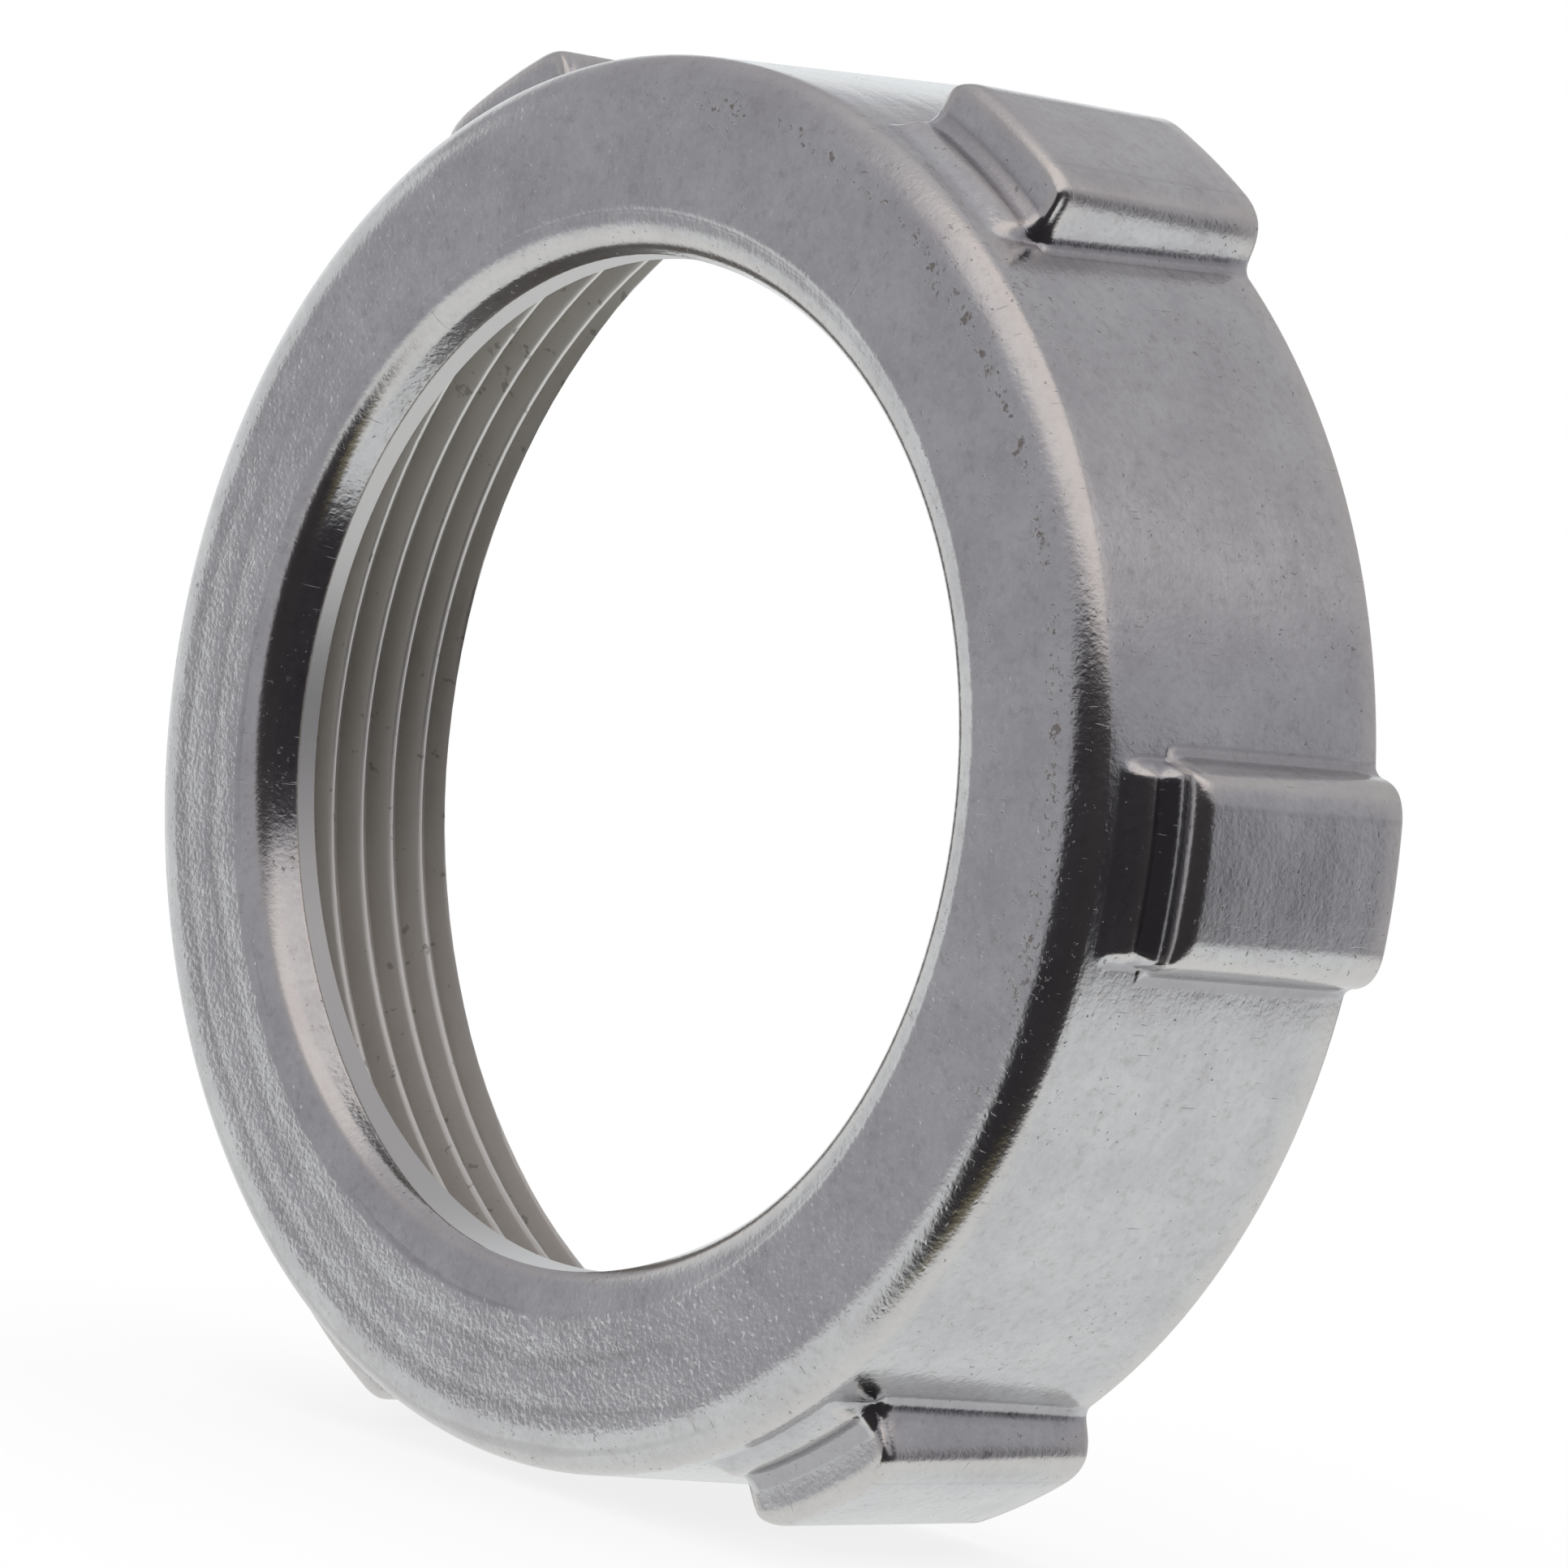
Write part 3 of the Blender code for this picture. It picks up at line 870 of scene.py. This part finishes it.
# %% [markdown]
# The bore is the only turned surface: the tool left fine rings in it. A noise that changes along the axis
# only draws them, far finer than rings of geometry could be.

# %% Turned bore
GROOVES_PER_MM = 14.0
GROOVE_DEPTH = 0.012
DARK_TURNED = (0.56, 0.555, 0.55, 1.0)
LIGHT_TURNED = (0.70, 0.695, 0.69, 1.0)
turned, tree, shader, place = new_material("turned_bore")
along = put(tree, "SeparateXYZ", {0: place}).outputs[1]
lines = put(tree, "CombineXYZ", {1: sums(tree, "MULTIPLY", along, GROOVES_PER_MM)}).outputs[0]
grooves = noise(tree, lines, 1.0, 2.0, 0.7)
tone = mix_colours(tree, grooves, DARK_TURNED, LIGHT_TURNED)
shader.inputs["Roughness"].default_value = 0.38
coat_metal(tree, shader, tone, grooves, 0.6, GROOVE_DEPTH * MM)
casting.data.materials.append(turned)
print("finish:", turned.name)

# %% [markdown]
# The thread was cut and then never rubbed, so it is duller than the outside. Its crests carry a painted
# highlight that makes them lighter than its roots, and a few stains lie on it.

# %% Cut thread
DARK_THREAD = (0.52, 0.50, 0.47, 1.0)
LIGHT_THREAD = (0.68, 0.66, 0.63, 1.0)
CREST_HIGHLIGHT = (0.80, 0.79, 0.77, 1.0)
STAIN_BROWN = (0.22, 0.205, 0.185, 1.0)
THREAD_SKIN = {"Waves": 0.01, "Peen": 0.004, "Grain": 0.004}
STAINS = {"Per mm": 1.6, "Cut": 0.68, "Patchy": 0.35}
cut_thread, tree, shader, place = new_material("cut_thread")
skin = use_group(tree, skin_group, {"Place": place, **THREAD_SKIN})
stains = use_group(tree, speck_group, {"Place": place, **STAINS})["Speck"]
tone = mix_colours(tree, skin["Tone"], DARK_THREAD, LIGHT_THREAD)
# The crests are lightened with a painted highlight.
tone = mix_colours(tree, stored(tree, "wear_and_highlight"), tone, CREST_HIGHLIGHT)
tone = cover(tree, tone, stains, 0.5, STAIN_BROWN)
shader.inputs["Roughness"].default_value = 0.48
coat_metal(tree, shader, tone, skin["Height"], 1.0, MM)
casting.data.materials.append(cut_thread)
thread.data.materials.append(cut_thread)
print("finish:", cut_thread.name)

# %% Which finish each row of the section has
face_row = np.repeat(np.arange(skin_radius.shape[0]), around.size)
finish = np.zeros(face_row.size, dtype=np.int32)
finish[(face_row >= first_bore_row) & (face_row < first_seat_row - 1)] = 1
finish[(face_row >= first_seat_row - 1) & (face_row <= last_socket_row)] = 2
casting.data.polygons.foreach_set("material_index", finish)
print("faces by finish:", np.bincount(finish).tolist())

# %% Join both pieces to the frame
for piece in (casting, thread):
    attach(piece, "root")
    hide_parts("union_nut")

# %% [markdown]
# Bright metal looks like whatever stands around it, so the studio is built as carefully as the nut. The
# floor is white. Round it stands a tent of grey cloth, with a brighter panel overhead in front, a window
# behind on the left, and a black cloth in front on the right, where the camera stands.

# %% Floor
FLOOR_Z = -REAR_RADIUS


def sheet_mesh(name, points):
    """A smooth open sheet from a grid of points."""
    index = np.arange(points.shape[0] * points.shape[1]).reshape(points.shape[:2])
    quads = np.stack([index[:-1, :-1], index[1:, :-1], index[1:, 1:], index[:-1, 1:]], -1)
    mesh = bpy.data.meshes.new(name)
    mesh.from_pydata(points.reshape(-1, 3).tolist(), [], quads.reshape(-1, 4).tolist())
    mesh.shade_smooth()
    sheet = bpy.data.objects.new(name, mesh)
    bpy.context.scene.collection.objects.link(sheet)
    return sheet


FLOOR_SIZE = 3000.0
FLOOR_GAP = 0.02
span = evenly(-FLOOR_SIZE, FLOOR_SIZE, 3)
floor_x, floor_y = np.meshgrid(span, span, indexing="ij")
floor_z = np.full_like(floor_x, FLOOR_Z - FLOOR_GAP)
floor = sheet_mesh("floor", np.stack([floor_x, floor_y, floor_z], -1) * MM)
floor_paint = bpy.data.materials.new("floor_paint")
floor_paint.use_nodes = True
tree = floor_paint.node_tree
floor_shader = tree.nodes["Principled BSDF"]
floor_shader.inputs["Base Color"].default_value = (0.92, 0.92, 0.92, 1.0)
floor_shader.inputs["Roughness"].default_value = 1.0
floor_shader.inputs["Specular IOR Level"].default_value = 0.0


def background_rays(tree):
    """One for the rays that see the background: from the camera, off metal and through glass."""
    rays = put(tree, "LightPath").outputs
    mirrored = sums(tree, "MAXIMUM", rays["Is Glossy Ray"], rays["Is Transmission Ray"])
    return sums(tree, "MAXIMUM", rays["Is Camera Ray"], mirrored)


FLOOR_GLOW = 0.8
white = put(tree, "Emission", {"Color": (1.0, 1.0, 1.0, 1.0), "Strength": 1.0}).outputs[0]
share = sums(tree, "MULTIPLY", background_rays(tree), FLOOR_GLOW)
lit_floor = put(tree, "MixShader", {0: share, 1: floor_shader.outputs[0], 2: white}).outputs[0]
tree.links.new(lit_floor, tree.nodes["Material Output"].inputs["Surface"])
floor.data.materials.append(floor_paint)
print("floor at", FLOOR_Z, "mm")

# %% The light tent
TENT_RADIUS = 700.0
azimuth = evenly(-180.0, 180.0, 145)[:, None]
elevation = evenly(-90.0, 90.0, 73)[None, :]


def between(value, low, high, border):
    """One from low to high and zero beyond, with a soft border across each end."""
    return soft_step((value - low) / border + 0.5) * soft_step((high - value) / border + 0.5)


def turned_from(middle):
    """Azimuth measured from a middle direction, from -180 to 180 degrees."""
    return (azimuth - middle + 180.0) % 360.0 - 180.0


def panel(middle, half, border, low, high, edge):
    """A patch of the tent: a half width on both sides of an azimuth, from a low to a high elevation."""
    return between(turned_from(middle), -half, half, border) * between(elevation, low, high, edge)


def hang(glow, colour, share):
    """A cloth of one colour laid over the tent where its share is one."""
    return glow + (np.array(colour) - glow) * share[..., None]


# %% The cloths that hang in the tent
GREY_CLOTH = (0.45, 0.445, 0.47)
PALE_TOP = (0.62, 0.61, 0.63)
WARM_PANEL = (0.90, 0.85, 0.835)
GREY_WALL = (0.55, 0.54, 0.55)
WHITE_FLOOR = (0.86, 0.875, 0.87)
WINDOW = (0.95, 0.98, 0.99)
BLACK_CLOTH = (0.042, 0.039, 0.042)
OLIVE_EDGE = (0.22, 0.19, 0.10)

glow = np.zeros((azimuth.size, elevation.size, 3)) + np.array(GREY_CLOTH)
glow = hang(glow, PALE_TOP, soft_step((elevation - 40.0) / 45.0) + 0.0 * azimuth)
overhead = between(turned_from(-35.0), -80.0, 80.0, 40.0) * soft_step((elevation - 18.0) / 20.0)
glow = hang(glow, WARM_PANEL, overhead)
grey_wall = panel(middle=92.0, half=36.0, border=24.0, low=-20.0, high=50.0, edge=24.0)
glow = hang(glow, GREY_WALL, grey_wall)
white_edge = -15.0 + 33.0 * soft_step((44.0 - np.abs(turned_from(180.0))) / 24.0)
glow = hang(glow, WHITE_FLOOR, soft_step((white_edge - elevation) / 8.0 + 0.5))
window = panel(middle=149.0, half=29.0, border=12.0, low=-14.0, high=26.0, edge=10.0)
glow = hang(glow, WINDOW, window)

BLACK_LEFT = 58.0
BLACK_RIGHT = 88.0
BLACK_HEIGHT = 37.0
black_turn = turned_from(-46.0)
black_lift = elevation + 14.0 - 0.1 * black_turn
black_width = np.where(black_turn < 0.0, BLACK_LEFT, BLACK_RIGHT)
black_reach = np.hypot(black_turn / black_width, black_lift / BLACK_HEIGHT)
glow = hang(glow, BLACK_CLOTH, soft_step((1.0 - black_reach) / 0.2 + 0.5))
olive_edge = panel(middle=-58.0, half=24.0, border=16.0, low=-51.0, high=-41.0, edge=6.0)
glow = hang(glow, OLIVE_EDGE, 0.7 * olive_edge)
print("tent glow from", round(float(glow.min()), 3), "to", round(float(glow.max()), 3))

# %% The tent itself
turn, lift = np.radians(azimuth), np.radians(elevation)
tent_x = np.cos(lift) * np.cos(turn)
tent_y = np.cos(lift) * np.sin(turn)
tent_z = np.sin(lift) + 0.0 * turn
tent = sheet_mesh("light_tent", np.stack([tent_x, tent_y, tent_z], -1) * TENT_RADIUS * MM)
glow_colours = np.concatenate([glow, np.ones_like(glow[..., :1])], -1)
layer = tent.data.attributes.new("glow", "FLOAT_COLOR", "POINT")
layer.data.foreach_set("color", glow_colours.astype(np.float32).ravel())
tent_cloth = bpy.data.materials.new("tent_cloth")
tent_cloth.use_nodes = True
tree = tent_cloth.node_tree
tree.nodes.remove(tree.nodes["Principled BSDF"])
cloth_colour = put(tree, "Attribute", None, attribute_name="glow").outputs["Color"]
cloth_glow = put(tree, "Emission", {"Color": cloth_colour, "Strength": 1.0}).outputs[0]
tree.links.new(cloth_glow, tree.nodes["Material Output"].inputs["Surface"])
tent.data.materials.append(tent_cloth)
tent.visible_camera = False
tent.visible_diffuse = False
tent.visible_shadow = False
floor.visible_glossy = False
print("tent:", len(tent.data.polygons), "quads, radius", TENT_RADIUS, "mm")

# %% World and lamp
world = bpy.data.worlds.new("white_studio")
bpy.context.scene.world = world
world.use_nodes = True
tree = world.node_tree
AMBIENT = 1.1
by_ray = {"Value": background_rays(tree), "To Min": AMBIENT, "To Max": 1.0}
strength = put(tree, "MapRange", by_ray).outputs[0]
background = tree.nodes["Background"]
background.inputs["Color"].default_value = (1.0, 1.0, 1.0, 1.0)
tree.links.new(strength, background.inputs["Strength"])

lamp_data = bpy.data.lights.new("soft_box", "AREA")
lamp_data.shape = "DISK"
lamp_data.size = 0.5
lamp_data.energy = 0.2
lamp = bpy.data.objects.new("soft_box", lamp_data)
lamp.location = (-0.15, -0.1, 0.6)
lamp.rotation_euler = (-Vector(lamp.location)).to_track_quat("-Z", "Y").to_euler()
lamp.visible_glossy = False
bpy.context.scene.collection.objects.link(lamp)
bpy.context.scene.view_settings.view_transform = "Standard"
print("ambient", AMBIENT, "lamp", lamp_data.energy, "W")

# %% [markdown]
# The camera stands where the photograph was taken: near the nut, a little above its axis, to its right.

# %% Camera
CAMERA_PLACE = Vector((195.0599, -175.5692, 14.3223)) * MM
CAMERA_RIGHT = Vector((0.664142, 0.735297, 0.135103))
CAMERA_UP = Vector((-0.131627, -0.062885, 0.989303))
CAMERA_BACK = Vector((0.735928, -0.67482, 0.055021))
camera_data = bpy.data.cameras.new("camera")
camera_data.sensor_width = 36.0
camera_data.lens = 154.22
camera_data.clip_start = 0.01
camera = bpy.data.objects.new("camera", camera_data)
turned_axes = Matrix((CAMERA_RIGHT, CAMERA_UP, CAMERA_BACK)).transposed()
camera.matrix_world = Matrix.Translation(CAMERA_PLACE) @ turned_axes.to_4x4()
bpy.context.scene.collection.objects.link(camera)
bpy.context.scene.camera = camera
print("camera", round(CAMERA_PLACE.length / MM, 1), "mm from the nut")
